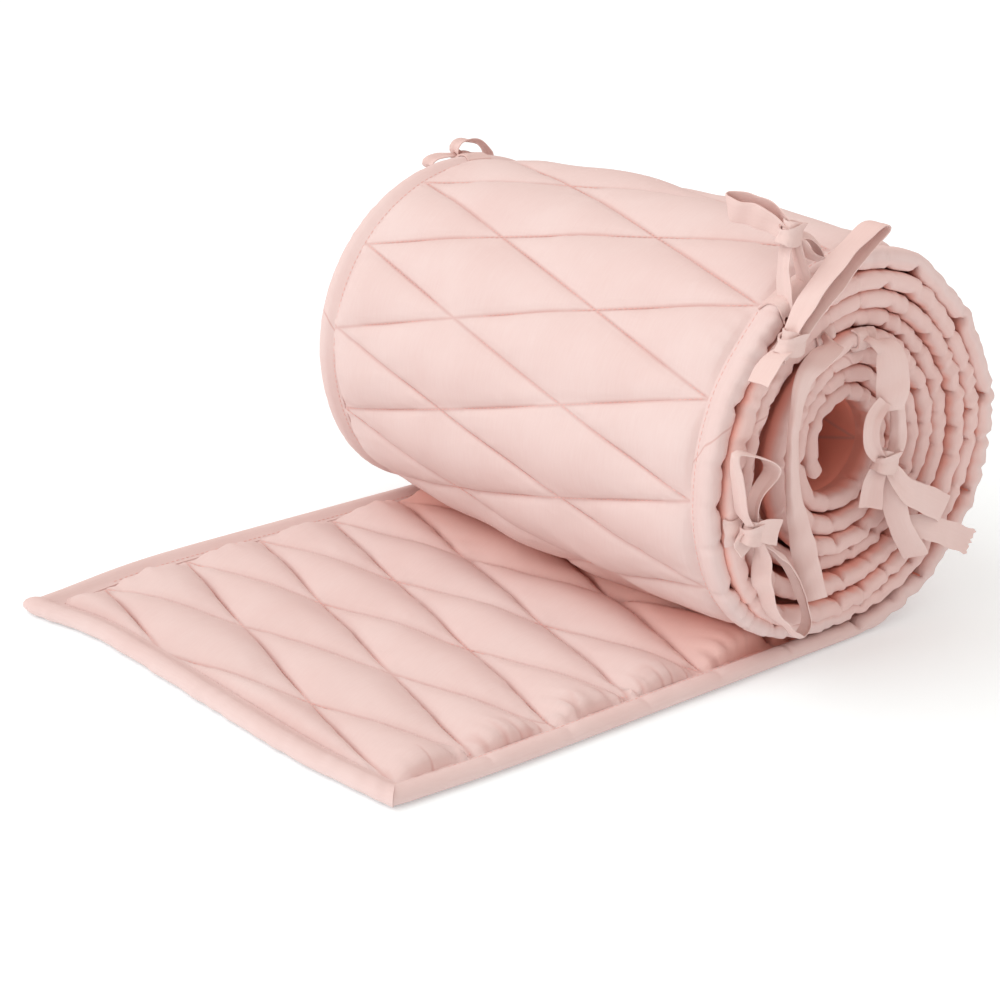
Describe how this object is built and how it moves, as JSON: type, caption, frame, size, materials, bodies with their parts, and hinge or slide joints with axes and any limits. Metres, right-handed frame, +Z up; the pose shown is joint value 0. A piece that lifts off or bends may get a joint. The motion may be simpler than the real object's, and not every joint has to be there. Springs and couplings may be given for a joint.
{
  "type": "crib bumper",
  "caption": "Long quilted padded strip with bound edges and fabric ties, rolled up with its outer end laid out flat, to pad the inside of a cot.",
  "frame": {"origin": "middle of the bounding box in X and Y, on the surface that the strip lies on", "axes": "+Z up; +Y from the free end of the laid-out stretch towards the roll; +X along the roll's core towards the end that carries most of the ties"},
  "size_m": [0.3322, 0.3967, 0.2315],
  "materials": {
    "quilted_cotton": "matt woven cotton over wadding, light pink",
    "bias_cotton": "matt woven cotton cut on the bias, light pink",
    "tape_cotton": "matt folded cotton tape, light pink"
  },
  "bodies": {
    "root": {"quilted_panel": "quilted_cotton", "binding_right": "bias_cotton", "binding_left": "bias_cotton", "binding_tail": "bias_cotton", "binding_core": "bias_cotton", "tie_top": "tape_cotton", "tie_upper": "tape_cotton", "tie_lower": "tape_cotton", "strap_long": "tape_cotton", "tie_core": "tape_cotton", "tie_far": "tape_cotton"}
  },
  "joints": []
}
